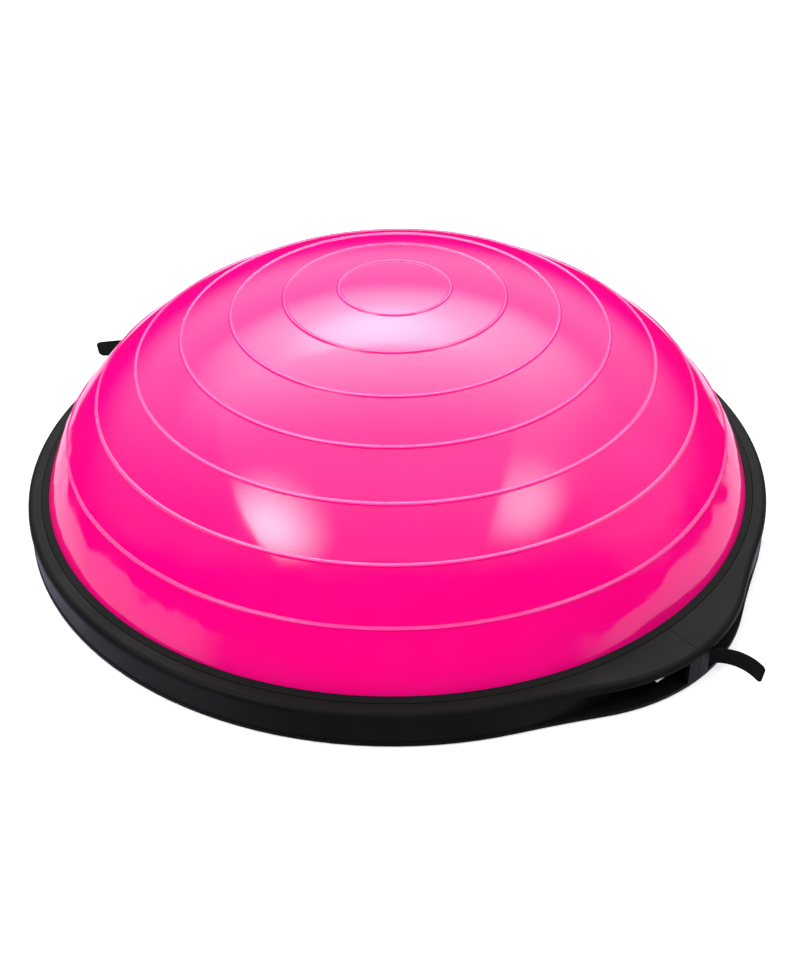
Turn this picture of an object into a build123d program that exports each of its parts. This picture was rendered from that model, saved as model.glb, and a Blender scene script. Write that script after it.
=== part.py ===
"""Balance dome trainer: an air-filled dome clamped onto a rigid platform.

Millimetres, +Z up.  The origin is on the floor under the middle of the dome.  The two
handles lie on the X axis, and the part repeats when it is turned by 180 degrees about Z.
"""

import os
from math import acos, asin, atan2, cos, hypot, radians, sin, tan

from build123d import *

os.makedirs("parts", exist_ok=True)

# ---------------------------------------------------------------- driving dimensions

# dome: a hollow cap with the profile of an ellipse
dome_radius = 298.6
dome_half_height = 209.3
dome_equator = -8.2
dome_wall = 4.5
dome_curve_steps = 8
dome_rib_count = 7
dome_rib_pitch = 44.4
dome_rib_radius = 1.0
dome_rib_sink = 0.35
bead_width = 7.0
bead_thickness = 3.0
bladder_floor_thickness = 2.5
dome_clearance = 0.4

# platform: the skin that stands on the floor, its wall and its stiffening ribs
base_margin = 11.4
base_lip = 0.6
foot_proud = 1.0
skin = 3.0
base_wall = 3.0
wall_height = 20.0
rib_height = 12.5
rib_thickness = 2.5
spoke_count = 12
ring_rib_radius = 150.0
seat_width = 12.0
pocket_wall_reach = 72.0
pocket_wall_play = 0.1

# clamp ring over the bead of the dome
clamp_top_width = 5.4
clamp_slope = 16.0
clamp_height = 11.4
clamp_foot_height = 3.0
clamp_foot_reach = 1.8

# rim cover, made in two halves that meet at the handles
rim_overhang = 0.4
rim_groove = 0.5
rim_slope = 5.0
rim_drop = 0.2
rim_thickness = 3.0
rim_roll = 5.0
press_width = 1.2
seam_gap = 0.4

# handles
handle_reach = 20.0
handle_width = 206.0
handle_blend = 1000.0
pocket_depth = 26.0
pocket_radius = 463.0
pocket_blend = 120.0
post_width = 23.0
edge_break = 0.6
tongue_length = 5.0
tongue_width = 1.4
tongue_height = 1.4
tongue_play = 0.2
slot_from_middle = 6.5
slot_length = 20.0
slot_depth = 9.0

# strap: webbing on edge, sewn into an eye round the bolt behind each post
strap_height = 14.0
strap_thickness = 1.6
strap_seat_height = 2.0
strap_play = 0.2
strap_post_gap = 4.5
strap_overhang = 36.0
right_strap_bend = 37.0
right_strap_bend_angle = 70.0
left_strap_bend = 300.0
left_strap_bend_angle = 14.0
strap_sag = 4.0
strap_corner = 3.5
sewn_length = 10.0
bolt_from_pocket = 7.0
bolt_radius = 3.5
bolt_running = 0.06
bolt_head_radius = 6.0
bolt_head_height = 1.6
bolt_head_play = 0.3
bolt_boss_wall = 2.6
bolt_play = 0.05

# screws that draw the rim cover down onto platform and clamp ring
screws_per_half = 4
screw_first_angle = 24.0
screw_inset = 6.4
screw_radius = 1.6
screw_play = 0.2
screw_bite = 0.05
screw_bite_depth = 1.0
screw_head_radius = 3.2
screw_head_height = 2.0
screw_head_play = 0.3
boss_radius = 3.0

# rubber feet, let into the underside
foot_count = 8
foot_margin = 35.0
foot_radius = 14.0
foot_inset = 1.5
foot_play = 0.2
foot_edge = 0.4

# air valve in the middle of the underside
valve_dish_radius = 15.0
valve_dish_depth = 3.6
valve_hub_wall = 3.0
valve_stem_radius = 9.0
valve_play = 0.25
valve_bore = 5.0
valve_flange_radius = 20.0
valve_flange_height = 1.5
plug_running = 0.05
plug_cap_play = 0.1
plug_cap_radius = 11.0
plug_cap_height = 2.4
plug_length = 11.0
plug_tip = 1.5
plug_sides = 12
plug_tab_length = 12.0
plug_tab_width = 3.0
plug_tab_height = 0.8

# ---------------------------------------------------------------- levels and places

skin_bottom = foot_proud
skin_top = skin_bottom + skin
split_level = skin_top + wall_height
floor_seat = skin_top + rib_height
bead_bottom = floor_seat + bladder_floor_thickness
bead_top = bead_bottom + bead_thickness
clamp_foot_top = bead_top + clamp_foot_height
clamp_top = bead_top + clamp_height


def dome_radius_at(level, offset=0.0):
    """Radius of the dome's outer face, moved out by offset, at a height."""
    rise = (level - dome_equator) / (dome_half_height + offset)
    return (dome_radius + offset) * (1 - rise**2) ** 0.5


bead_inner = dome_radius_at(bead_bottom) - dome_wall
bead_outer = bead_inner + bead_width
clamp_inner_top = dome_radius_at(clamp_top, dome_clearance)
clamp_outer = clamp_inner_top + clamp_top_width
clamp_foot_outer = clamp_outer + clamp_foot_reach
clamp_outer_top = clamp_top - clamp_top_width * tan(radians(clamp_slope))

base_radius = dome_radius + base_margin
rim_radius = base_radius + rim_overhang
rim_inner = clamp_outer + rim_groove
rim_inner_top = clamp_outer_top - rim_drop

handle_x = base_radius + handle_reach
handle_root_x = (base_radius**2 - (handle_width / 2) ** 2) ** 0.5
handle_bulge = handle_x - handle_root_x
handle_radius = handle_bulge / 2 + handle_width**2 / (8 * handle_bulge)
handle_centre = handle_x - handle_radius
pocket_x = handle_x - pocket_depth
pocket_centre = pocket_x - pocket_radius
bolt_x = pocket_x + bolt_from_pocket
bolt_boss_radius = bolt_radius + bolt_boss_wall
strap_seat = skin_top + strap_seat_height
strap_bottom = strap_seat + strap_play
strap_top = strap_bottom + strap_height
slot_x = pocket_x + slot_depth / 2
strap_reach = handle_x + strap_overhang

tongue_x = handle_x - rim_thickness / 2
seat_inner = clamp_foot_outer - seat_width
valve_dish_top = skin_bottom + valve_dish_depth
foot_circle = base_radius - foot_margin
foot_angles = [360 / foot_count * (k + 0.5) for k in range(foot_count)]
screw_circle = base_radius - screw_inset
screw_step = (180 - 2 * screw_first_angle) / (screws_per_half - 1)
screw_angles = [
    half + screw_first_angle + screw_step * k
    for half in (0, 180)
    for k in range(screws_per_half)
]


def rim_top_at(radius):
    """Height of the rim cover's sloping top at a radius."""
    return rim_inner_top - (radius - rim_inner) * tan(radians(rim_slope))


screw_top = rim_top_at(screw_circle) - rim_thickness + screw_bite_depth
bolt_top = rim_top_at(bolt_x) - rim_thickness
press_top = rim_top_at(rim_inner) - rim_thickness / 2
hollow_radius = rim_radius - rim_thickness
pocket_wall_top = rim_top_at(hollow_radius) - rim_thickness - pocket_wall_play


def polar(radius, angle, level=0.0):
    """A place given by radius and angle about Z."""
    return (radius * cos(radians(angle)), radius * sin(radians(angle)), level)


def screw_places(level):
    return [polar(screw_circle, angle, level) for angle in screw_angles]


def both_handles(x, y=0.0, level=0.0):
    """The same place at both handles, which are half a turn apart."""
    return [(x, y, level), (-x, -y, level)]


def handle_outline(radius, inside=0.0):
    """Plan outline, moved in by inside: a circle with a bulge at each end of X."""
    with BuildSketch() as outline:
        Circle(radius - inside)
        with Locations((handle_centre, 0), (-handle_centre, 0)):
            Circle(handle_radius - inside)
        corners = outline.vertices().filter_by(lambda v: abs(v.Y) > handle_width / 4)
        fillet(corners, handle_blend + inside)
    return outline.sketch


def wall_outline(inside=0.0):
    """Plan outline of the platform's wall: the circle, flattened behind each handle."""
    with BuildSketch() as outline:
        Circle(base_radius - base_lip - inside)
        for side in (1, -1):
            with Locations((side * pocket_centre, 0)):
                Circle(pocket_radius - inside, mode=Mode.INTERSECT)
        corners = outline.vertices().filter_by(lambda v: abs(v.Y) > handle_width / 4)
        fillet(corners, pocket_blend - inside)
    return outline.sketch


def section_box(inner, outer, low, high, mode=Mode.ADD):
    """A rectangle in the half section of a turned piece."""
    with Locations(((inner + outer) / 2, (low + high) / 2)):
        Rectangle(outer - inner, high - low, mode=mode)


# ---------------------------------------------------------------- platform

with BuildPart() as platform:
    # skin, reaching out under both handles
    with BuildSketch(Plane.XY.offset(skin_bottom)):
        add(handle_outline(base_radius))
    extrude(amount=skin)
    # upright wall, set back behind the handles
    with BuildSketch(Plane.XY.offset(skin_top)):
        add(wall_outline())
        add(wall_outline(base_wall), mode=Mode.SUBTRACT)
    extrude(amount=wall_height)
    wall_edge = platform.faces().group_by(Axis.Z)[-1].face().outer_wire().edges()
    chamfer(wall_edge, edge_break)
    # behind the handles the wall goes on up to the rim cover
    with BuildSketch(Plane.XY.offset(split_level)):
        add(wall_outline())
        add(wall_outline(base_wall), mode=Mode.SUBTRACT)
        Circle(hollow_radius - pocket_wall_play, mode=Mode.INTERSECT)
        Rectangle(2 * handle_x, 2 * pocket_wall_reach, mode=Mode.INTERSECT)
    extrude(amount=pocket_wall_top - split_level)
    # stiffening ribs, the hub of the valve and the seat of the dome
    with BuildSketch(Plane.XZ):
        section_box(0, valve_dish_radius + valve_hub_wall, skin_top, floor_seat)
        section_box(
            ring_rib_radius - rib_thickness / 2,
            ring_rib_radius + rib_thickness / 2,
            skin_top,
            floor_seat,
        )
        section_box(seat_inner, clamp_foot_outer, skin_top, floor_seat)
    revolve(axis=Axis.Z)
    with BuildSketch(Plane.XY.offset(skin_top)):
        with PolarLocations(seat_inner / 2, spoke_count, start_angle=180 / spoke_count):
            Rectangle(seat_inner, rib_thickness)
    extrude(amount=rib_height)
    with BuildSketch(Plane.XY.offset(skin_top)):
        with Locations(screw_places(0)):
            Circle(boss_radius)
    extrude(amount=wall_height)
    with BuildSketch(Plane.XY.offset(skin_top)):
        with Locations(both_handles(bolt_x)):
            Circle(bolt_boss_radius)
    extrude(amount=strap_seat_height)
    # screw and bolt holes, their heads sunk from below
    with Locations(screw_places(skin_bottom)):
        Cylinder(
            screw_radius + screw_play,
            split_level - skin_bottom,
            align=(Align.CENTER, Align.CENTER, Align.MIN),
            mode=Mode.SUBTRACT,
        )
        Cylinder(
            screw_head_radius + screw_head_play,
            screw_head_height,
            align=(Align.CENTER, Align.CENTER, Align.MIN),
            mode=Mode.SUBTRACT,
        )
    with Locations(both_handles(bolt_x, 0, skin_bottom)):
        Cylinder(
            bolt_radius + bolt_play,
            strap_seat - skin_bottom,
            align=(Align.CENTER, Align.CENTER, Align.MIN),
            mode=Mode.SUBTRACT,
        )
        Cylinder(
            bolt_head_radius + bolt_head_play,
            bolt_head_height,
            align=(Align.CENTER, Align.CENTER, Align.MIN),
            mode=Mode.SUBTRACT,
        )
    # slots behind the posts and the sockets of their tongues
    with BuildSketch(Plane.XY.offset(skin_bottom)):
        for side in (1, -1):
            with Locations(both_handles(slot_x, side * (slot_from_middle + slot_length / 2))):
                Rectangle(slot_depth, slot_length)
    extrude(amount=skin, mode=Mode.SUBTRACT)
    with BuildSketch(Plane.XY.offset(skin_top)):
        for side in (1, -1):
            with Locations(both_handles(tongue_x, side * post_width / 4)):
                Rectangle(tongue_width + 2 * tongue_play, tongue_length + 2 * tongue_play)
    extrude(amount=-(tongue_height + tongue_play), mode=Mode.SUBTRACT)
    # recesses of the feet, and the dish and bore of the valve
    with BuildSketch(Plane.XY.offset(skin_bottom)):
        with Locations([polar(foot_circle, angle) for angle in foot_angles]):
            Circle(foot_radius + foot_play)
    extrude(amount=foot_inset, mode=Mode.SUBTRACT)
    with BuildSketch(Plane.XZ):
        section_box(0, valve_dish_radius, skin_bottom, valve_dish_top)
        section_box(0, valve_stem_radius + valve_play, valve_dish_top, floor_seat)
    revolve(axis=Axis.Z, mode=Mode.SUBTRACT)
platform.part.label = "platform"
export_step(platform.part, "parts/platform.step")

# ---------------------------------------------------------------- dome and bladder floor


def dome_curve(inside=0.0):
    """The dome's meridian, moved in by inside, from the top down to the bead."""
    across, up = dome_radius - inside, dome_half_height - inside
    steepest = acos((bead_bottom - dome_equator) / up)
    turns = [steepest * k / dome_curve_steps for k in range(dome_curve_steps + 1)]
    points = [(across * sin(turn), dome_equator + up * cos(turn)) for turn in turns]
    return Spline(*points, tangents=[(1, 0), (across * cos(steepest), -up * sin(steepest))])


with BuildLine():
    meridian = dome_curve()
rib_centres = []
for k in range(1, dome_rib_count + 1):
    spot = meridian.position_at(k * dome_rib_pitch, position_mode=PositionMode.LENGTH)
    heading = meridian.tangent_at(k * dome_rib_pitch, position_mode=PositionMode.LENGTH)
    rib_centres.append((spot.X + heading.Y * dome_rib_sink, spot.Y - heading.X * dome_rib_sink))

with BuildPart() as dome:
    with BuildSketch(Plane.XZ):
        with BuildLine():
            outer = dome_curve()
            inner = dome_curve(dome_wall)
            Line(outer @ 0, inner @ 0)
            Line(outer @ 1, inner @ 1)
        make_face()
        with Locations(rib_centres):
            Circle(dome_rib_radius)
        section_box(bead_inner, bead_outer, bead_bottom, bead_top)
    revolve(axis=Axis.Z)
dome.part.label = "dome"
export_step(dome.part, "parts/dome.step")

with BuildPart() as bladder_floor:
    with BuildSketch(Plane.XY.offset(floor_seat)):
        Circle(bead_outer)
        Circle(valve_stem_radius + valve_play, mode=Mode.SUBTRACT)
    extrude(amount=bladder_floor_thickness)
bladder_floor.part.label = "bladder_floor"
export_step(bladder_floor.part, "parts/bladder_floor.step")

# ---------------------------------------------------------------- clamp ring


def throat(level):
    """A point of the clamp ring's inner face, which follows the dome."""
    return (dome_radius_at(level, dome_clearance), level)


with BuildPart() as clamp_ring:
    with BuildSketch(Plane.XZ):
        with BuildLine():
            Polyline(
                throat(bead_top),
                (clamp_foot_outer, bead_top),
                (clamp_foot_outer, clamp_foot_top),
                (clamp_outer, clamp_foot_top),
                (clamp_outer, clamp_outer_top),
                throat(clamp_top),
                close=True,
            )
        make_face()
    revolve(axis=Axis.Z)
clamp_ring.part.label = "clamp_ring"
export_step(clamp_ring.part, "parts/clamp_ring.step")

# ---------------------------------------------------------------- rim cover


def above_slope(lower_by=0.0):
    """Everything above the rim cover's sloping top, as a turned block."""
    near, far = bead_inner, handle_x + rim_radius / 10
    ceiling = clamp_top + rim_roll
    with BuildPart() as block:
        with BuildSketch(Plane.XZ):
            with BuildLine():
                Polyline(
                    (near, rim_top_at(near) - lower_by),
                    (far, rim_top_at(far) - lower_by),
                    (far, ceiling),
                    (near, ceiling),
                    close=True,
                )
            make_face()
        revolve(axis=Axis.Z)
    return block.part


def rim_block(inside=0.0):
    """The rim's plan, moved in by inside and raised to its sloping top."""
    with BuildPart() as block:
        with BuildSketch(Plane.XY.offset(skin_top)):
            add(handle_outline(rim_radius, inside))
            Circle(bead_inner, mode=Mode.SUBTRACT)
        extrude(amount=clamp_top - skin_top)
        add(above_slope(inside), mode=Mode.SUBTRACT)
    return block.part


with BuildPart() as rim:
    add(rim_block())
    # the outer edge of the top is rolled over
    top_faces = rim.faces().filter_by(GeomType.CONE)
    outer_edges = top_faces.edges().filter_by(
        lambda e: hypot(e.center().X, e.center().Y) > base_radius - 2 * rim_thickness
    )
    fillet(outer_edges, rim_roll)
    # hollow underneath
    add(rim_block(rim_thickness), mode=Mode.SUBTRACT)
    # below the top of the platform's wall only the posts stay
    with BuildSketch(Plane.XY.offset(skin_top)):
        Circle(handle_x + rim_thickness)
        Rectangle(2 * handle_x, post_width, mode=Mode.SUBTRACT)
    extrude(amount=wall_height, mode=Mode.SUBTRACT)
    # rib that presses the clamp ring's foot down
    with BuildSketch(Plane.XY.offset(clamp_foot_top)):
        Circle(rim_inner + press_width)
        Circle(bead_inner, mode=Mode.SUBTRACT)
    extrude(amount=press_top - clamp_foot_top)
    # bosses for the screws and for the bolts behind the posts
    with BuildSketch(Plane.XY.offset(split_level)):
        with Locations(screw_places(0)):
            Circle(boss_radius)
    extrude(amount=screw_top - split_level)
    with BuildSketch(Plane.XY.offset(strap_top + strap_play)):
        with Locations(both_handles(bolt_x)):
            Circle(bolt_boss_radius)
    extrude(amount=bolt_top - strap_top - strap_play)
    # tongues under the posts
    with BuildSketch(Plane.XY.offset(skin_top)):
        for side in (1, -1):
            with Locations(both_handles(tongue_x, side * post_width / 4)):
                Rectangle(tongue_width, tongue_length)
    extrude(amount=-tongue_height)
    # screw and bolt holes, and the opening round the clamp ring
    with BuildSketch(Plane.XY.offset(split_level)):
        with Locations(screw_places(0)):
            Circle(screw_radius + screw_bite)
    extrude(amount=screw_top - split_level, mode=Mode.SUBTRACT)
    with BuildSketch(Plane.XY.offset(strap_top + strap_play)):
        with Locations(both_handles(bolt_x)):
            Circle(bolt_radius + bolt_play)
    extrude(amount=bolt_top - strap_top - strap_play, mode=Mode.SUBTRACT)
    with BuildSketch(Plane.XY.offset(skin_bottom)):
        Circle(rim_inner)
    extrude(amount=clamp_top, mode=Mode.SUBTRACT)

with BuildPart() as rim_rear:
    add(rim.part)
    with Locations((0, seam_gap / 2, 0)):
        Box(
            3 * handle_x,
            2 * handle_x,
            3 * clamp_top,
            align=(Align.CENTER, Align.MIN, Align.CENTER),
            mode=Mode.INTERSECT,
        )
rim_rear.part.label = "rim_rear"
export_step(rim_rear.part, "parts/rim_rear.step")

with BuildPart() as rim_front:
    add(rim_rear.part, rotation=(0, 0, 180))
rim_front.part.label = "rim_front"
export_step(rim_front.part, "parts/rim_front.step")

# ---------------------------------------------------------------- fasteners

with BuildPart() as rim_screws:
    with Locations(screw_places(skin_bottom)):
        Cylinder(
            screw_head_radius,
            screw_head_height,
            align=(Align.CENTER, Align.CENTER, Align.MIN),
        )
        Cylinder(
            screw_radius,
            screw_top - skin_bottom,
            align=(Align.CENTER, Align.CENTER, Align.MIN),
        )
rim_screws.part.label = "rim_screws"
export_step(rim_screws.part, "parts/rim_screws.step")


def strap_bolt(side):
    """Shoulder bolt that carries the strap behind a post."""
    with BuildPart() as bolt:
        with Locations((side * bolt_x, 0, skin_bottom)):
            Cylinder(
                bolt_head_radius,
                bolt_head_height,
                align=(Align.CENTER, Align.CENTER, Align.MIN),
            )
            Cylinder(
                bolt_radius,
                bolt_top - skin_bottom,
                align=(Align.CENTER, Align.CENTER, Align.MIN),
            )
    return bolt


strap_bolt_right = strap_bolt(1)
strap_bolt_right.part.label = "strap_bolt_right"
export_step(strap_bolt_right.part, "parts/strap_bolt_right.step")

strap_bolt_left = strap_bolt(-1)
strap_bolt_left.part.label = "strap_bolt_left"
export_step(strap_bolt_left.part, "parts/strap_bolt_left.step")

# ---------------------------------------------------------------- straps

# the tail leaves the eye as a tangent, clears the post, then curls outwards
eye_inner = bolt_radius + bolt_running
eye_middle = eye_inner + strap_thickness / 2
eye_outer = eye_inner + strap_thickness
post_corner = (handle_x - rim_thickness, post_width / 2 + strap_post_gap)
corner_away = (post_corner[0] - bolt_x, post_corner[1])
tail_angle = atan2(corner_away[1], corner_away[0]) + asin(eye_middle / hypot(*corner_away))
tail_heading = (cos(tail_angle), sin(tail_angle))
tail_start = (
    bolt_x + eye_middle * tail_heading[1],
    -eye_middle * tail_heading[0],
)
ply_start = (
    tail_start[0] - strap_thickness * tail_heading[1],
    tail_start[1] + strap_thickness * tail_heading[0],
)
ply_end = (
    ply_start[0] + (eye_outer + sewn_length) * tail_heading[0],
    ply_start[1] + (eye_outer + sewn_length) * tail_heading[1],
)


def strap(bend, bend_angle):
    """A strap at the right-hand post, its tail curling outwards on a radius."""
    with BuildPart() as webbing:
        with BuildLine() as tail:
            straight = Line(tail_start, post_corner)
            JernArc(post_corner, tail_heading, bend, -bend_angle)
        tall = strap_height + strap_sag
        with BuildSketch(Plane(straight @ 0, x_dir=(0, 0, 1), z_dir=straight % 0)):
            with Locations((strap_top - tall / 2, 0)):
                Rectangle(tall, strap_thickness)
        sweep(path=tail.wire())
        with BuildLine() as ply:
            inner_ply = Line(ply_start, ply_end)
        with BuildSketch(Plane(inner_ply @ 0, x_dir=(0, 0, 1), z_dir=inner_ply % 0)):
            with Locations((strap_top - tall / 2, 0)):
                Rectangle(tall, strap_thickness)
        sweep(path=ply.wire())
        with BuildSketch(Plane.XY.offset(strap_top - tall)):
            with Locations((bolt_x, 0)):
                Circle(eye_outer)
        extrude(amount=tall)
        with BuildSketch(Plane.XY.offset(strap_top - tall)):
            with Locations((bolt_x, 0)):
                Circle(eye_inner)
        extrude(amount=tall, mode=Mode.SUBTRACT)
        # side view: level at the eye, sagging towards the rounded tip
        eye_x = bolt_x - 2 * eye_outer
        turn_x = post_corner[0]
        tip_top, tip_bottom = strap_top - strap_sag, strap_bottom - strap_sag
        with BuildSketch(Plane.XZ) as side_view:
            with BuildLine():
                Line((eye_x, strap_bottom), (eye_x, strap_top))
                Line((eye_x, strap_top), (turn_x, strap_top))
                TangentArc((turn_x, strap_top), (strap_reach, tip_top), tangent=(1, 0))
                Line((strap_reach, tip_top), (strap_reach, tip_bottom))
                TangentArc((turn_x, strap_bottom), (strap_reach, tip_bottom), tangent=(1, 0))
                Line((turn_x, strap_bottom), (eye_x, strap_bottom))
            make_face()
            fillet(side_view.vertices().group_by(Axis.X)[-1], strap_corner)
        extrude(amount=handle_x / 4, both=True, mode=Mode.INTERSECT)
    return webbing.part


with BuildPart() as strap_right:
    add(strap(right_strap_bend, right_strap_bend_angle))
strap_right.part.label = "strap_right"
export_step(strap_right.part, "parts/strap_right.step")

with BuildPart() as strap_left:
    add(strap(left_strap_bend, left_strap_bend_angle), rotation=(0, 0, 180))
strap_left.part.label = "strap_left"
export_step(strap_left.part, "parts/strap_left.step")

# ---------------------------------------------------------------- valve

with BuildPart() as valve_seat:
    with BuildSketch(Plane.XZ):
        section_box(valve_bore, valve_stem_radius, valve_dish_top, bead_bottom)
        section_box(
            valve_bore,
            valve_flange_radius,
            bead_bottom,
            bead_bottom + valve_flange_height,
        )
    revolve(axis=Axis.Z)
valve_seat.part.label = "valve_seat"
export_step(valve_seat.part, "parts/valve_seat.step")

plug_cap_top = valve_dish_top - plug_cap_play
with BuildPart() as valve_plug:
    with BuildSketch(Plane.XZ):
        section_box(0, valve_bore - plug_running, plug_cap_top, plug_cap_top + plug_length)
    revolve(axis=Axis.Z)
    tip_edges = valve_plug.edges().filter_by(GeomType.CIRCLE).group_by(Axis.Z)[-1]
    chamfer(tip_edges, plug_tip)
    with BuildSketch(Plane.XY.offset(plug_cap_top)):
        RegularPolygon(plug_cap_radius, plug_sides)
    extrude(amount=-plug_cap_height)
    with BuildSketch(Plane.XY.offset(plug_cap_top - plug_cap_height)):
        Rectangle(plug_tab_length, plug_tab_width)
    extrude(amount=-plug_tab_height)
valve_plug.part.label = "valve_plug"
export_step(valve_plug.part, "parts/valve_plug.step")

# ---------------------------------------------------------------- feet

for k in range(foot_count):
    with BuildPart() as foot:
        with BuildSketch():
            with Locations(polar(foot_circle, foot_angles[k])):
                Circle(foot_radius)
        extrude(amount=foot_proud + foot_inset)
        chamfer(foot.edges().group_by(Axis.Z)[0], foot_edge)
    foot.part.label = f"foot_{k + 1}"
    export_step(foot.part, f"parts/foot_{k + 1}.step")
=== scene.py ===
"""Looks of the balance dome trainer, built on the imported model.  Metres, +Z up."""

import math

import bpy
from mathutils import Matrix, Vector, noise


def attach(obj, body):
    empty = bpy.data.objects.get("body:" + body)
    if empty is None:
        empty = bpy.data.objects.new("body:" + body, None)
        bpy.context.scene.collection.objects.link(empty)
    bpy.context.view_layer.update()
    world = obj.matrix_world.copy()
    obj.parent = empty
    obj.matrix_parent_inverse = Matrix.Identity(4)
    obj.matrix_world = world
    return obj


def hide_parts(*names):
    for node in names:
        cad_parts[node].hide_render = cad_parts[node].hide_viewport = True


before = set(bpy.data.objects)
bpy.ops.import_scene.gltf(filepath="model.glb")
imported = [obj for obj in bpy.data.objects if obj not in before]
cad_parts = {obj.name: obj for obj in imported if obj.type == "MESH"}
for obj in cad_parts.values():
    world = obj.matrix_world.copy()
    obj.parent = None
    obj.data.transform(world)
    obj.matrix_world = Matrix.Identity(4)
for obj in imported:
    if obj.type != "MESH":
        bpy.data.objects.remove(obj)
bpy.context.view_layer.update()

# ---------------------------------------------------------------- sizes

UP = Vector((0, 0, 1))

# dome: the profile is an ellipse round a middle just below the floor
DOME_R = 0.2986
DOME_H = 0.2093
DOME_Z = -0.0082
DOME_WALL = 0.0045
BEAD_BOTTOM = 0.019
BEAD_TOP = 0.022
BEAD_WIDTH = 0.007
DOME_SEGMENTS = 300
ROW_STEP = 0.006
INNER_ROWS = 24
PROFILE_SAMPLES = 4000

# raised rings, evenly spaced along the profile; the crest, which gets the paler colour with its
# painted highlight, is a share of the half width
RIB_PITCH = 0.0444
RIB_COUNT = 7
RIB_HALF = 0.0017
RIB_RISE = 0.0010
RIB_CREST = 0.5
RIB_ROWS = 6
# extra rows beside each ring, in half widths, which keep its shading narrow
RIB_SHOULDERS = (1.15, 1.9)

# how far the air-filled skin is from an even ellipse, and how many times it varies per metre
SWELL_DEPTH = 0.00022
SWELL_PER_M = 11.0
WAVE_DEPTH = 0.0011
WAVE_PER_M = 20.0
RIPPLE_DEPTH = 0.0005
RIPPLE_PER_M = 70.0
# heights where the waves above the clamp begin, are full, begin to fade and are gone
WAVE_LEVELS = (0.036, 0.050, 0.075, 0.120)

# straps: webbing on edge round a bolt behind each post
BOLT_X = 0.311
EYE_RADIUS = 0.0045
POST_CORNER = (0.327, 0.016)
STRAP_THICKNESS = 0.0016
STRAP_BOTTOM = 0.0062
STRAP_TOP = 0.0202
STRAP_SAG = 0.004
STRAP_CORNER = 0.0035
STRAP_REACH = 0.366
SEWN_START = 0.0095
SEWN_END = 0.0175
# steps along a curve, distance between cross-sections, and passes that ease the corners
CURVE_STEPS = 40
STATION = 0.0008
EASING_PASSES = 5

# weave: rows across the webbing, length of one pick, how far the yarn stands up, and how
# much of that comes and goes; the selvedge is a share of the full thickness
WEAVE_ROWS = 18
WEAVE_PICK = 0.0024
WEAVE_RISE = 0.00016
WEAVE_SWING = 0.35
SELVEDGE = 0.55

# stitches of thread through both plies; THREAD_END is the thickness of their ends, as a share,
# and STITCH_INSET the stations between a row of them and the end of the sewn length
THREAD_RADIUS = 0.00028
THREAD_END = 0.45
STITCH_LENGTH = 0.0017
STITCH_SIDES = 6
STITCH_RINGS = 7
STITCH_ROWS = 5
STITCH_INSET = 2

# each strap: half a turn for the far one, then its tail's bend, twist and slanted end
STRAPS = {
    "strap_right": {"turn": 0.0, "bend": 0.037, "bend_angle": 70.0, "lean": -12.0, "slant": 0.05},
    "strap_left": {"turn": math.pi, "bend": 0.300, "bend_angle": 14.0, "lean": 50.0, "slant": 0.35},
}

# ---------------------------------------------------------------- materials

# the middle part of the noise, over which a colour or a roughness drifts
ROUGHNESS_SPAN = (0.3, 0.7)
COLOUR_SPAN = (0.35, 0.65)
# how much paler the pale parts of black plastic are
PLASTIC_DRIFT = 1.35


def grey(tone):
    """A neutral colour."""
    return (tone, tone, tone)


def material(name, colour, rough, metal=0.0, spec=0.5):
    """A plain shader in a material of its own."""
    mat = bpy.data.materials.new(name)
    mat.use_nodes = True
    shader = mat.node_tree.nodes["Principled BSDF"]
    shader.inputs["Base Color"].default_value = (*colour, 1)
    shader.inputs["Roughness"].default_value = rough
    shader.inputs["Metallic"].default_value = metal
    shader.inputs["Specular IOR Level"].default_value = spec
    return mat


def noise_field(mat, scale, detail):
    """Noise in object space, whose scale is in cells per metre."""
    nodes, links = mat.node_tree.nodes, mat.node_tree.links
    coord = nodes.new("ShaderNodeTexCoord")
    field = nodes.new("ShaderNodeTexNoise")
    field.inputs["Scale"].default_value = scale
    field.inputs["Detail"].default_value = detail
    links.new(coord.outputs["Object"], field.inputs["Vector"])
    return field.outputs["Fac"]


def bump(mat, scale, depth, detail=3.0):
    """A fine moulded or woven relief."""
    nodes, links = mat.node_tree.nodes, mat.node_tree.links
    relief = nodes.new("ShaderNodeBump")
    relief.inputs["Strength"].default_value = 1.0
    relief.inputs["Distance"].default_value = depth
    links.new(noise_field(mat, scale, detail), relief.inputs["Height"])
    links.new(relief.outputs["Normal"], nodes["Principled BSDF"].inputs["Normal"])


def vary_roughness(mat, low, high, scale):
    """Roughness that drifts between two values over the surface."""
    nodes, links = mat.node_tree.nodes, mat.node_tree.links
    span = nodes.new("ShaderNodeMapRange")
    span.inputs["From Min"].default_value = ROUGHNESS_SPAN[0]
    span.inputs["From Max"].default_value = ROUGHNESS_SPAN[1]
    span.inputs["To Min"].default_value = low
    span.inputs["To Max"].default_value = high
    links.new(noise_field(mat, scale, 2.0), span.inputs["Value"])
    links.new(span.outputs["Result"], nodes["Principled BSDF"].inputs["Roughness"])


def vary_colour(mat, first, second, scale):
    """Colour that drifts between two tones over the surface."""
    nodes, links = mat.node_tree.nodes, mat.node_tree.links
    ramp = nodes.new("ShaderNodeValToRGB")
    for stop, position, colour in zip(ramp.color_ramp.elements, COLOUR_SPAN, (first, second)):
        stop.position = position
        stop.color = (*colour, 1)
    links.new(noise_field(mat, scale, 3.0), ramp.inputs["Fac"])
    links.new(ramp.outputs["Color"], nodes["Principled BSDF"].inputs["Base Color"])


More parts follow.
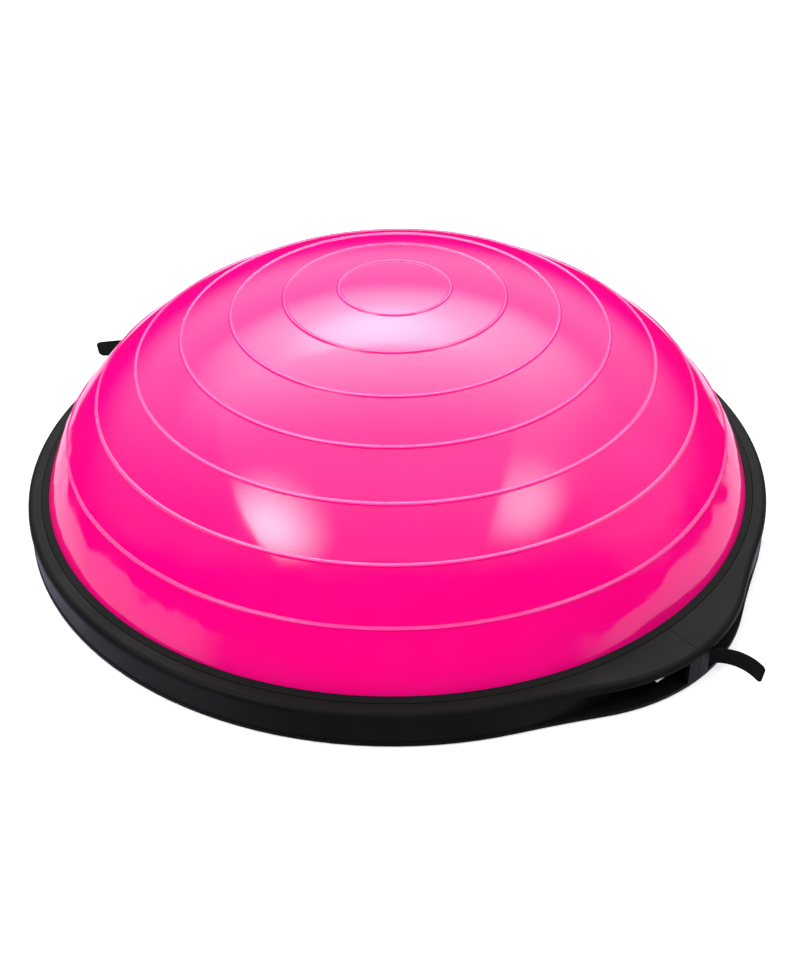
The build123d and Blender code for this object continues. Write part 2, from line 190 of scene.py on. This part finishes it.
def dome_skin():
    """Glossy burst-resistant vinyl of the dome."""
    mat = material("dome_skin", colour=(0.95, 0.0, 0.2), rough=0.1)
    vary_colour(mat, first=(0.96, 0.0, 0.2), second=(0.93, 0.0, 0.215), scale=9.0)
    vary_roughness(mat, low=0.06, high=0.1, scale=25.0)
    bump(mat, scale=60.0, depth=0.00002, detail=1.0)
    return mat


def rib_tone_and_painted_highlight():
    """Crests of the raised rings, where the moulded skin is a little paler; the paler colour is
    also a painted highlight of the light they catch.
    """
    mat = material("dome_rib_tone_and_highlight", colour=(0.98, 0.06, 0.36), rough=0.25)
    vary_roughness(mat, low=0.2, high=0.3, scale=60.0)
    return mat


def base_plastic(name, tone, low, high):
    """Black moulded plastic with a fine even grain."""
    mat = material(name, colour=grey(tone), rough=high, spec=0.045)
    vary_colour(mat, first=grey(tone), second=grey(tone * PLASTIC_DRIFT), scale=18.0)
    vary_roughness(mat, low=low, high=high, scale=35.0)
    bump(mat, scale=1400.0, depth=0.00003)
    return mat


def rubber(name, tone):
    """Dull moulded rubber of the feet and the valve."""
    mat = material(name, colour=grey(tone), rough=0.75, spec=0.3)
    vary_roughness(mat, low=0.65, high=0.85, scale=120.0)
    bump(mat, scale=700.0, depth=0.00006)
    return mat


def webbing():
    """Black polypropylene yarn; the weave itself is in the mesh."""
    mat = material("webbing", colour=(0.006, 0.006, 0.0065), rough=0.7, spec=0.06)
    vary_roughness(mat, low=0.55, high=0.8, scale=300.0)
    bump(mat, scale=2600.0, depth=0.00005)
    return mat


def thread():
    """Thread of the stitches, a little paler than the yarn."""
    mat = material("thread", colour=(0.012, 0.012, 0.013), rough=0.5)
    bump(mat, scale=4000.0, depth=0.00003)
    return mat


def steel():
    """Zinc-plated steel of the screws and bolts."""
    mat = material("steel", colour=(0.55, 0.55, 0.56), rough=0.35, metal=1.0)
    vary_roughness(mat, low=0.26, high=0.42, scale=220.0)
    bump(mat, scale=900.0, depth=0.00001)
    return mat


pink = dome_skin()
rib_pink_and_painted_highlight = rib_tone_and_painted_highlight()
black = base_plastic("base_plastic", tone=0.0058, low=0.34, high=0.44)
ring_black = base_plastic("ring_plastic", tone=0.0055, low=0.34, high=0.44)
plug_black = base_plastic("plug_plastic", tone=0.012, low=0.4, high=0.5)
foot_rubber = rubber("foot_rubber", tone=0.014)
valve_rubber = rubber("valve_rubber", tone=0.03)
yarn = webbing()
stitching = thread()
metal = steel()

# the finish of every node but the feet
finishes = {
    "platform": black,
    "rim_front": black,
    "rim_rear": black,
    "clamp_ring": ring_black,
    "dome": pink,
    "bladder_floor": pink,
    "rim_screws": metal,
    "strap_bolt_left": metal,
    "strap_bolt_right": metal,
    "strap_left": yarn,
    "strap_right": yarn,
    "valve_seat": valve_rubber,
    "valve_plug": plug_black,
}
for name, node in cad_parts.items():
    node.data.materials.clear()
    node.data.materials.append(finishes.get(name, foot_rubber))

# ---------------------------------------------------------------- meshes


def add_mesh(name, verts, faces, *mats):
    """A smooth-shaded piece from its corners and faces."""
    mesh = bpy.data.meshes.new(name)
    mesh.from_pydata(verts, [], faces)
    mesh.update()
    for mat in mats:
        mesh.materials.append(mat)
    for face in mesh.polygons:
        face.use_smooth = True
    obj = bpy.data.objects.new(name, mesh)
    bpy.context.scene.collection.objects.link(obj)
    return obj


def smooth_step(low, high, value):
    """Nothing at low, one at high, smooth between them."""
    share = min(max((value - low) / (high - low), 0.0), 1.0)
    return share * share * (3 - 2 * share)


# ---------------------------------------------------------------- dome


def ellipse_point(turn, inside=0.0):
    """Radius and height on the dome's profile, at an angle from the top."""
    return (
        (DOME_R - inside) * math.sin(turn),
        DOME_Z + (DOME_H - inside) * math.cos(turn),
    )


def turn_at_level(level, inside=0.0):
    """Angle from the top at which the profile has come down to a level."""
    return math.acos((level - DOME_Z) / (DOME_H - inside))


def row_stops(centres, length):
    """Distances of the rows from the top along the profile, close together at each ring."""
    stops = [k * ROW_STEP for k in range(1, int(length / ROW_STEP))]
    clear = (1 + RIB_SHOULDERS[-1]) * RIB_HALF
    stops = [s for s in stops if all(abs(s - c) > clear for c in centres)]
    for centre in centres:
        stops += [centre + RIB_HALF * k / RIB_ROWS for k in range(-RIB_ROWS, RIB_ROWS + 1)]
        stops += [centre + RIB_HALF * k * sign for k in RIB_SHOULDERS for sign in (1, -1)]
    stops.append(length)
    return sorted(stops)


def outer_rows():
    """Rows of the outer skin from the top down: radius, height, way out, on a crest or not."""
    steepest = turn_at_level(BEAD_TOP)
    turns = [steepest * k / PROFILE_SAMPLES for k in range(PROFILE_SAMPLES + 1)]
    lengths = [0.0]
    for before, after in zip(turns, turns[1:]):
        lengths.append(lengths[-1] + math.dist(ellipse_point(before), ellipse_point(after)))
    centres = [RIB_PITCH * (k + 1) for k in range(RIB_COUNT)]
    rows = []
    at = 0
    for stop in row_stops(centres, lengths[-1]):
        while lengths[at] < stop:
            at += 1
        radius, height = ellipse_point(turns[at])
        out = Vector((DOME_H * math.sin(turns[at]), DOME_R * math.cos(turns[at]))).normalized()
        away = min(abs(stop - centre) for centre in centres) / RIB_HALF
        rise = RIB_RISE * max(1 - away**2, 0.0)
        rows.append((radius + out.x * rise, height + out.y * rise, out, away < RIB_CREST))
    return rows


def closing_rows():
    """Rows round the bead under the clamp ring and up the inner skin to its top."""
    bead_inner = ellipse_point(turn_at_level(BEAD_BOTTOM))[0] - DOME_WALL
    bead_outer = bead_inner + BEAD_WIDTH
    steepest = turn_at_level(BEAD_TOP, DOME_WALL)
    places = [(bead_outer, BEAD_TOP), (bead_outer, BEAD_BOTTOM), (bead_inner, BEAD_BOTTOM)]
    for k in range(INNER_ROWS, 0, -1):
        places.append(ellipse_point(steepest * k / INNER_ROWS, DOME_WALL))
    # these rows are even, so they have no way out
    still = Vector((0.0, 0.0))
    return [(radius, height, still, False) for radius, height in places]


def unevenness(point, height):
    """How far the skin stands in or out at a place, more so just above the clamp."""
    low, full, falling, gone = WAVE_LEVELS
    free = smooth_step(low, full, height)
    near_clamp = free * (1 - smooth_step(falling, gone, height))
    swell = SWELL_DEPTH * free * noise.noise(point * SWELL_PER_M)
    wave = WAVE_DEPTH * noise.noise(point * WAVE_PER_M)
    ripple = RIPPLE_DEPTH * noise.noise(point * RIPPLE_PER_M)
    return swell + (wave + ripple) * near_clamp


def dome_corners(rows):
    """Corners of the dome: its top, one circle for each row, and the inner top."""
    verts = [(0, 0, DOME_Z + DOME_H)]
    for radius, height, out, _ in rows:
        for k in range(DOME_SEGMENTS):
            angle = math.tau * k / DOME_SEGMENTS
            spoke = Vector((math.cos(angle), math.sin(angle), 0))
            point = spoke * radius + UP * height
            move = unevenness(point, height)
            verts.append(point + (spoke * out.x + UP * out.y) * move)
    verts.append((0, 0, DOME_Z + DOME_H - DOME_WALL))
    return verts


def build_dome():
    """The dome as one closed shell: outer skin with its ribs, bead, and inner skin."""
    rows = outer_rows() + closing_rows()
    verts = dome_corners(rows)
    last = len(verts) - 1
    faces = []
    on_crest = []
    for k in range(DOME_SEGMENTS):
        following = (k + 1) % DOME_SEGMENTS
        faces.append((0, 1 + k, 1 + following))
        on_crest.append(False)
        for j in range(len(rows) - 1):
            first, second = 1 + j * DOME_SEGMENTS, 1 + (j + 1) * DOME_SEGMENTS
            faces.append((first + k, second + k, second + following, first + following))
            on_crest.append(rows[j][3] and rows[j + 1][3])
        faces.append((last, last - DOME_SEGMENTS + following, last - DOME_SEGMENTS + k))
        on_crest.append(False)
    dome = add_mesh("dome_membrane", verts, faces, pink, rib_pink_and_painted_highlight)
    # faces on a crest get the paler rib colour, which is partly a painted highlight
    for face, crest in zip(dome.data.polygons, on_crest):
        face.material_index = 1 if crest else 0
    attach(dome, "base")
    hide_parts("dome")


build_dome()

# ---------------------------------------------------------------- straps


def strap_route(bend, bend_angle):
    """Middle line of the webbing in plan: sewn end, round the bolt, past the post, tail."""
    bolt = Vector((BOLT_X, 0.0))
    corner = Vector(POST_CORNER)
    away = corner - bolt
    heading = math.atan2(away.y, away.x) + math.asin(EYE_RADIUS / away.length)
    ahead = Vector((math.cos(heading), math.sin(heading)))
    left = Vector((-ahead.y, ahead.x))
    ply_side = left * (STRAP_THICKNESS - EYE_RADIUS)
    sewn_end = bolt + ahead * SEWN_END + ply_side
    sewn_start = bolt + ahead * SEWN_START + ply_side
    reach = sewn_start - bolt
    leave = math.atan2(reach.y, reach.x) + math.acos(EYE_RADIUS / reach.length)
    arrive = heading - math.pi / 2 + math.tau
    corners = [sewn_end, sewn_start]
    for k in range(CURVE_STEPS + 1):
        angle = leave + (arrive - leave) * k / CURVE_STEPS
        corners.append(bolt + EYE_RADIUS * Vector((math.cos(angle), math.sin(angle))))
    corners.append(corner)
    centre = corner - left * bend
    for k in range(1, CURVE_STEPS + 1):
        angle = heading + math.pi / 2 - math.radians(bend_angle) * k / CURVE_STEPS
        corners.append(centre + bend * Vector((math.cos(angle), math.sin(angle))))
    return corners


def resample(corners, step):
    """Points at even steps along a polyline, as far as STRAP_REACH."""
    points = [corners[0]]
    for start, end in zip(corners, corners[1:]):
        gap = (end - start).length
        count = max(round(gap / step), 1)
        points += [start.lerp(end, (k + 1) / count) for k in range(count)]
    return [p for p in points if p.x < STRAP_REACH]


def rounded(points, passes):
    """The same points with each corner eased, both ends kept."""
    for _ in range(passes):
        middle = [(a + 2 * b + c) / 4 for a, b, c in zip(points, points[1:], points[2:])]
        points = [points[0], *middle, points[-1]]
    return points


def strap_edges(x):
    """Lower and upper edge of the webbing over a place: it sags, and its tip is rounded."""
    along = max(x - POST_CORNER[0], 0.0)
    span = STRAP_REACH - POST_CORNER[0]
    drop_radius = (span**2 + STRAP_SAG**2) / (2 * STRAP_SAG)
    drop = drop_radius - math.sqrt(drop_radius**2 - along**2)
    into_corner = max(x - (STRAP_REACH - STRAP_CORNER), 0.0)
    cut = STRAP_CORNER - math.sqrt(max(STRAP_CORNER**2 - into_corner**2, 0.0))
    return STRAP_BOTTOM - drop + cut, STRAP_TOP - drop - cut


def weave(run, row):
    """Height of the yarn at a place: columns along the strap, crossed in turn."""
    if row % 2 == 0:
        return 0.0
    lift = math.sin(math.tau * run / WEAVE_PICK + math.pi * (row // 2))
    return WEAVE_RISE * (1 - WEAVE_SWING + WEAVE_SWING * lift)


def strap_sides(points):
    """The way to the left of the route at each of its points."""
    sides = []
    for i in range(len(points)):
        before, after = points[max(i - 1, 0)], points[min(i + 1, len(points) - 1)]
        ahead = (after - before).normalized()
        sides.append(Vector((-ahead.y, ahead.x, 0)))
    return sides


def strap_corners(points, sides, lean, slant):
    """Corners of the woven strip, both faces of one cross-section after the other."""
    verts = []
    run = 0.0
    for i, (point, side) in enumerate(zip(points, sides)):
        if i:
            run += (point - points[i - 1]).length
        low, high = strap_edges(point.x)
        ahead = side.cross(UP)
        # past the post the tail twists, and its end is cut on a slant
        freed = smooth_step(POST_CORNER[0], STRAP_REACH, point.x)
        tilt = math.radians(lean) * freed
        down = side * math.sin(tilt) - UP * math.cos(tilt)
        down -= ahead * slant * freed
        face = side * math.cos(tilt) + UP * math.sin(tilt)
        for sign in (1, -1):
            for row in range(WEAVE_ROWS + 1):
                half = STRAP_THICKNESS / 2 - WEAVE_RISE
                if row in (0, WEAVE_ROWS):
                    half *= SELVEDGE
                half += weave(run, row)
                drop = (high - low) * (1 - row / WEAVE_ROWS)
                verts.append(Vector((point.x, point.y, high)) + down * drop + face * sign * half)
    return verts


def strap_faces(stations):
    """Faces of the strip: both sides, both edges and both ends."""
    count = WEAVE_ROWS + 1
    ring = 2 * count
    top = count - 1
    faces = []
    for i in range(stations - 1):
        here, there = i * ring, (i + 1) * ring
        for row in range(WEAVE_ROWS):
            back = count + row
            faces.append((here + row, there + row, there + row + 1, here + row + 1))
            faces.append((here + back + 1, there + back + 1, there + back, here + back))
        faces.append((here + top, there + top, there + count + top, here + count + top))
        faces.append((here + count, there + count, there, here))
    end = (stations - 1) * ring
    for row in range(WEAVE_ROWS):
        back = count + row
        faces.append((row, row + 1, back + 1, back))
        faces.append((end + row + 1, end + row, end + back, end + back + 1))
    return faces


def add_stitch(verts, faces, place, out):
    """One upright stitch of thread, which dips into the webbing at both ends."""
    across = UP.cross(out)
    base = len(verts)
    for j in range(STITCH_RINGS):
        share = j / (STITCH_RINGS - 1)
        bow = math.sin(math.pi * share)
        middle = place + UP * STITCH_LENGTH * (share - 0.5) + out * THREAD_RADIUS * bow
        thick = THREAD_RADIUS * (THREAD_END + (1 - THREAD_END) * bow)
        for k in range(STITCH_SIDES):
            angle = math.tau * k / STITCH_SIDES
            verts.append(middle + (across * math.cos(angle) + out * math.sin(angle)) * thick)
    for j in range(STITCH_RINGS - 1):
        first = base + j * STITCH_SIDES
        second = first + STITCH_SIDES
        for k in range(STITCH_SIDES):
            following = (k + 1) % STITCH_SIDES
            faces.append((first + k, second + k, second + following, first + following))
    end = base + (STITCH_RINGS - 1) * STITCH_SIDES
    faces.append(tuple(range(base + STITCH_SIDES - 1, base - 1, -1)))
    faces.append(tuple(range(end, end + STITCH_SIDES)))


def sew(verts, faces, points, sides):
    """Two upright rows of stitches on each outer face of the doubled webbing."""
    sewn = int((SEWN_END - SEWN_START) / STATION)
    for i in (STITCH_INSET, sewn - STITCH_INSET):
        out = -sides[i]
        for k in range(STITCH_ROWS):
            height = STRAP_BOTTOM + (STRAP_TOP - STRAP_BOTTOM) * (k + 1) / (STITCH_ROWS + 1)
            middle = Vector((points[i].x, points[i].y, height))
            add_stitch(verts, faces, middle + out * STRAP_THICKNESS / 2, out)
            # the other ply lies one thickness further in
            add_stitch(verts, faces, middle - out * 1.5 * STRAP_THICKNESS, -out)


def build_strap(node, turn, bend, bend_angle, lean, slant):
    """Woven webbing folded round its bolt and sewn to itself, with a curling tail."""
    points = rounded(resample(strap_route(bend, bend_angle), STATION), EASING_PASSES)
    sides = strap_sides(points)
    verts = strap_corners(points, sides, lean, slant)
    faces = strap_faces(len(points))
    woven = len(faces)
    sew(verts, faces, points, sides)
    spin = Matrix.Rotation(turn, 3, "Z")
    strap = add_mesh(f"{node}_webbing", [spin @ v for v in verts], faces, yarn, stitching)
    for face in strap.data.polygons[woven:]:
        face.material_index = 1
    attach(strap, f"{node}_body")
    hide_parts(node)


for node, shape in STRAPS.items():
    build_strap(node, **shape)

# ---------------------------------------------------------------- camera

# place round the object and the way it looks, in metres and degrees
CAMERA_TURN = -42.0
CAMERA_RISE = 35.973
CAMERA_FAR = 1.3798
CAMERA_DIP = -0.066
CAMERA_PAN = 0.121
CAMERA_ROLL = -0.635
CAMERA_LENS = 58.76


def polar(azimuth, elevation, far):
    """A place from its directions as seen from the origin, in degrees."""
    turn, rise = math.radians(azimuth), math.radians(elevation)
    return far * Vector(
        (math.cos(rise) * math.cos(turn), math.cos(rise) * math.sin(turn), math.sin(rise))
    )


def add_camera():
    """The camera, aimed a little off the middle of the object."""
    data = bpy.data.cameras.new("camera")
    data.lens = CAMERA_LENS
    camera = bpy.data.objects.new("camera", data)
    bpy.context.scene.collection.objects.link(camera)
    camera.location = polar(CAMERA_TURN, CAMERA_RISE, CAMERA_FAR)
    forward = polar(CAMERA_TURN + 180 - CAMERA_PAN, -CAMERA_RISE - CAMERA_DIP, 1.0)
    side = forward.cross(UP).normalized()
    facing = Matrix((side, side.cross(forward), -forward)).transposed()
    roll = Matrix.Rotation(math.radians(CAMERA_ROLL), 3, "Z")
    camera.rotation_euler = (facing @ roll).to_euler()
    bpy.context.scene.camera = camera


add_camera()

# ---------------------------------------------------------------- studio

# lamps and lights are placed by their turn from the camera's side of the object
FLOOR_SIDE = 12.0
FLOOR_DROP = 0.0002
FLOOR_TONE = 0.86
FLOOR_GLOW = 0.45
ROOM_LIGHT = 0.45
LAMP_AIM = Vector((0, 0, 0.12))
# turn, elevation, distance, size, power
LAMPS = {
    "box_left": (-62, 54, 1.7, 0.7, 6.0),
    "box_right": (62, 54, 1.7, 0.7, 5.0),
    "box_back": (180, 56, 1.8, 1.1, 9.0),
}

# The gloss shows a ceiling at height 1.  Places on it are (toward the camera, to its right).
# lowest rise of a direction that is traced to the ceiling
LEAST_RISE = 0.01
# panel overhead: its level, and for each edge where nothing and where all of it shows
PANEL_LEVEL = 0.43
PANEL_FRONT = (0.76, 0.70)
PANEL_BACK = (-0.9, -0.8)
PANEL_LEFT = (-0.87, -0.83)
PANEL_RIGHT = (0.49, 0.45)
# soft pools of light: middle, radii, level
BACK_POOL = ((-1.0, 0.0), (1.0, 1.4), 5.3)
BACK_BOX = ((-0.9, -0.08), (0.45, 0.5), 5.5)
LEFT_BOX = ((0.38, -0.70), (0.48, 0.42), 15.0)
RIGHT_BOX = ((0.24, 0.66), (0.42, 0.38), 7.0)
RIGHT_VEIL = ((0.0, 0.6), (1.0, 0.6), 1.1)
# straight edges that cut the pools: where nothing and where all of a pool shows
BACK_BOX_EDGE = (-0.73, -0.79)
LEFT_BOX_EDGE = (-0.86, -0.83)
RIGHT_BOX_EDGE = (0.46, 0.50)
# wall behind: its elevation, two steps of light (nearness from, to, level), and its foot
WALL_RISE = 52
WALL_STEPS = ((0.1, 0.3, 0.3), (0.4, 0.8, 0.8))
WALL_FOOT = (-0.05, 0.3)
# window on the right: turn, elevation, nearness from, to, level
WINDOW_TURN = 96
WINDOW_RISE = 26
WINDOW = (0.9, 0.99, 0.35)
# lit floor: it lies below a tilted horizon, is dark in front, and is a little blue
FLOOR_AXIS = -70
FLOOR_EDGE = (-0.01, 0.02, 0.9)
FLOOR_HORIZON = (0.01, -0.02)
FLOOR_FRONT = (0.65, 0.4)
FLOOR_BLUE = 0.25
# what is left everywhere, more so overhead
AMBIENT = (-1.0, 1.0, 0.02)


def add_lamp(name, turn, elevation, far, size, power):
    """A soft box that faces the dome.  Its mirror image is in the world's own light."""
    data = bpy.data.lights.new(name, "AREA")
    data.size = size
    data.energy = power
    lamp = bpy.data.objects.new(name, data)
    bpy.context.scene.collection.objects.link(lamp)
    lamp.location = LAMP_AIM + polar(CAMERA_TURN + turn, elevation, far)
    lamp.rotation_euler = (LAMP_AIM - lamp.location).to_track_quat("-Z", "Y").to_euler()
    lamp.visible_glossy = False


class Tree:
    """Short calls for the arithmetic of the world's shader."""

    def __init__(self, tree):
        self.nodes, self.links = tree.nodes, tree.links

    def feed(self, socket, value):
        """Links an output to an input, or sets the input to a plain value."""
        if isinstance(value, bpy.types.NodeSocket):
            self.links.new(value, socket)
        else:
            socket.default_value = value

    def calculate(self, operation, first, second):
        """One step of arithmetic on two values."""
        node = self.nodes.new("ShaderNodeMath")
        node.operation = operation
        self.feed(node.inputs[0], first)
        self.feed(node.inputs[1], second)
        return node.outputs["Value"]

    def total(self, parts):
        result = parts[0]
        for part in parts[1:]:
            result = self.calculate("ADD", result, part)
        return result

    def product(self, parts):
        result = parts[0]
        for part in parts[1:]:
            result = self.calculate("MULTIPLY", result, part)
        return result

    def vector(self, operation, first, second=(0, 0, 0), output="Vector"):
        node = self.nodes.new("ShaderNodeVectorMath")
        node.operation = operation
        self.feed(node.inputs[0], first)
        self.feed(node.inputs[1], second)
        return node.outputs[output]

    def along(self, vector, axis):
        """How far a direction points along an axis."""
        return self.vector("DOT_PRODUCT", vector, axis, "Value")

    def fade(self, value, start, end, level=1.0):
        """Nothing at start, level at end, smooth between them."""
        node = self.nodes.new("ShaderNodeMapRange")
        node.interpolation_type = "SMOOTHSTEP"
        self.feed(node.inputs["Value"], value)
        self.feed(node.inputs["From Min"], start)
        self.feed(node.inputs["From Max"], end)
        self.feed(node.inputs["To Max"], level)
        return node.outputs["Result"]

    def pool(self, place, centre, radii, level):
        """A soft oval of light on the ceiling, brightest in its middle."""
        off = self.vector("SUBTRACT", place, (*centre, 0))
        scaled = self.vector("DIVIDE", off, (*radii, 1))
        return self.fade(self.vector("LENGTH", scaled, output="Value"), 1.0, 0.0, level)


def studio_mirror(tree):
    """Brightness of the studio as the object's gloss shows it, and how much bluer the floor is."""
    look = tree.nodes.new("ShaderNodeTexCoord").outputs["Generated"]
    toward = tree.along(look, polar(CAMERA_TURN, 0, 1.0))
    right = tree.along(look, polar(CAMERA_TURN + 90, 0, 1.0))
    rise = tree.along(look, UP)
    height = tree.calculate("MAXIMUM", rise, LEAST_RISE)
    front = tree.calculate("DIVIDE", toward, height)
    side = tree.calculate("DIVIDE", right, height)
    place = tree.nodes.new("ShaderNodeCombineXYZ")
    tree.feed(place.inputs["X"], front)
    tree.feed(place.inputs["Y"], side)
    ceiling = place.outputs["Vector"]

    panel = tree.product(
        [
            tree.fade(front, *PANEL_FRONT, PANEL_LEVEL),
            tree.fade(side, *PANEL_LEFT),
            tree.fade(side, *PANEL_RIGHT),
            tree.fade(front, *PANEL_BACK),
        ]
    )
    behind = tree.along(look, polar(CAMERA_TURN + 180, WALL_RISE, 1.0))
    steps = tree.total([tree.fade(behind, *step) for step in WALL_STEPS])
    wall = tree.calculate("MULTIPLY", steps, tree.fade(rise, *WALL_FOOT))
    back = tree.pool(ceiling, *BACK_POOL)
    right_edge = tree.fade(side, *RIGHT_BOX_EDGE)
    cut_pools = [
        tree.calculate("MULTIPLY", tree.pool(ceiling, *pool), edge)
        for pool, edge in (
            (BACK_BOX, tree.fade(front, *BACK_BOX_EDGE)),
            (LEFT_BOX, tree.fade(side, *LEFT_BOX_EDGE)),
            (RIGHT_BOX, right_edge),
            (RIGHT_VEIL, right_edge),
        )
    ]
    beside = tree.along(look, polar(CAMERA_TURN + WINDOW_TURN, WINDOW_RISE, 1.0))
    window = tree.fade(beside, *WINDOW)
    low = tree.along(look, polar(CAMERA_TURN, FLOOR_AXIS, 1.0))
    floor_glow = tree.product(
        [
            tree.fade(low, *FLOOR_EDGE),
            tree.fade(rise, *FLOOR_HORIZON),
            tree.fade(toward, *FLOOR_FRONT),
        ]
    )
    ambient = tree.fade(rise, *AMBIENT)
    level = tree.total([panel, wall, back, *cut_pools, floor_glow, window, ambient])
    return level, tree.calculate("MULTIPLY", floor_glow, FLOOR_BLUE)


def add_world():
    """White for the camera, even light for plain surfaces, and the studio for gloss."""
    world = bpy.data.worlds.new("studio")
    bpy.context.scene.world = world
    world.use_nodes = True
    tree = Tree(world.node_tree)
    path = tree.nodes.new("ShaderNodeLightPath")
    level, blue = studio_mirror(tree)
    bluer = tree.calculate("ADD", level, blue)
    colour = tree.nodes.new("ShaderNodeCombineColor")
    for channel, mirrored in (("Red", level), ("Green", level), ("Blue", bluer)):
        for seen_by, value in (("Is Diffuse Ray", ROOM_LIGHT), ("Is Camera Ray", 1.0)):
            choice = tree.nodes.new("ShaderNodeMix")
            tree.feed(choice.inputs["Factor"], path.outputs[seen_by])
            tree.feed(choice.inputs["A"], mirrored)
            tree.feed(choice.inputs["B"], value)
            mirrored = choice.outputs["Result"]
        tree.feed(colour.inputs[channel], mirrored)
    tree.feed(tree.nodes["Background"].inputs["Color"], colour.outputs["Color"])


def floor_material():
    """Pale floor that the camera sees as white, apart from the object's shadow."""
    mat = material("floor", colour=grey(FLOOR_TONE), rough=0.9, spec=0.0)
    nodes, links = mat.node_tree.nodes, mat.node_tree.links
    glow = nodes.new("ShaderNodeEmission")
    path = nodes.new("ShaderNodeLightPath")
    both = nodes.new("ShaderNodeAddShader")
    links.new(path.outputs["Is Camera Ray"], glow.inputs["Strength"])
    glow.inputs["Color"].default_value = (*grey(FLOOR_GLOW), 1)
    links.new(nodes["Principled BSDF"].outputs["BSDF"], both.inputs[0])
    links.new(glow.outputs["Emission"], both.inputs[1])
    links.new(both.outputs["Shader"], nodes["Material Output"].inputs["Surface"])
    return mat


def add_floor():
    """Pale floor under the object; its gloss shows the lit floor of the world's light instead."""
    half = FLOOR_SIDE / 2
    verts = [(-half, -half, 0), (half, -half, 0), (half, half, 0), (-half, half, 0)]
    plane = add_mesh("floor", verts, [(0, 1, 2, 3)], floor_material())
    plane.location.z = -FLOOR_DROP
    plane.visible_glossy = False


for name, lamp in LAMPS.items():
    add_lamp(name, *lamp)
add_world()
add_floor()

bpy.context.scene.view_settings.view_transform = "Standard"
